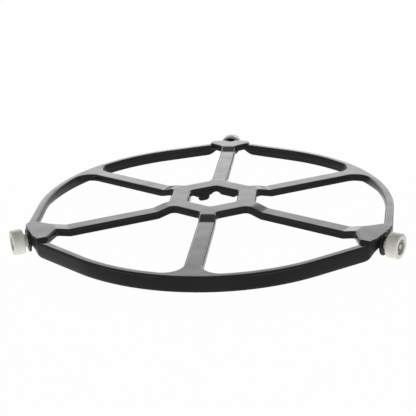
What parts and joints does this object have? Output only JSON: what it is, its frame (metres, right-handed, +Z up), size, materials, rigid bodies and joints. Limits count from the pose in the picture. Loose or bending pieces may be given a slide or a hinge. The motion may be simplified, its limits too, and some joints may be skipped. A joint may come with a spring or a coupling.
{
  "type": "oven turntable support",
  "caption": "Six-spoked pressed-steel spider with a drive hole in its hub, carried on plastic rollers, that turns a cooking tray in an oven.",
  "frame": {"origin": "on the hub's axis at floor level, where the rollers touch the oven's floor", "axes": "+Z up along the hub's axis; +Y towards the rear roller; +X to the right"},
  "size_m": [0.2964, 0.3112, 0.019],
  "materials": {
    "black_enamel": "gloss",
    "dark_disc": "satin",
    "steel": "satin",
    "spring_steel": "satin",
    "roller_plastic": "satin"
  },
  "bodies": {
    "spider": {"frame": "black_enamel", "backing_washer_right": "steel", "guard_disc_right": "dark_disc", "axle_right": "steel", "thrust_washer_right": "steel", "retaining_clip_right": "spring_steel", "backing_washer_rear": "steel", "guard_disc_rear": "dark_disc", "axle_rear": "steel", "thrust_washer_rear": "steel", "retaining_clip_rear": "spring_steel", "backing_washer_left": "steel", "guard_disc_left": "dark_disc", "axle_left": "steel", "thrust_washer_left": "steel", "retaining_clip_left": "spring_steel"},
    "roller_right": {"roller_right": "roller_plastic"},
    "roller_rear": {"roller_rear": "roller_plastic"},
    "roller_left": {"roller_left": "roller_plastic"}
  },
  "joints": [
    {"name": "roller_right_spin", "type": "hinge", "parent": "spider", "child": "roller_right", "pos_m": [0.14012, -0.0809, 0.0095], "axis": [0.866, -0.5, 0], "continuous": true},
    {"name": "roller_rear_spin", "type": "hinge", "parent": "spider", "child": "roller_rear", "pos_m": [0, 0.1618, 0.0095], "axis": [0, 1, 0], "continuous": true},
    {"name": "roller_left_spin", "type": "hinge", "parent": "spider", "child": "roller_left", "pos_m": [-0.14012, -0.0809, 0.0095], "axis": [-0.866, -0.5, 0], "continuous": true}
  ]
}
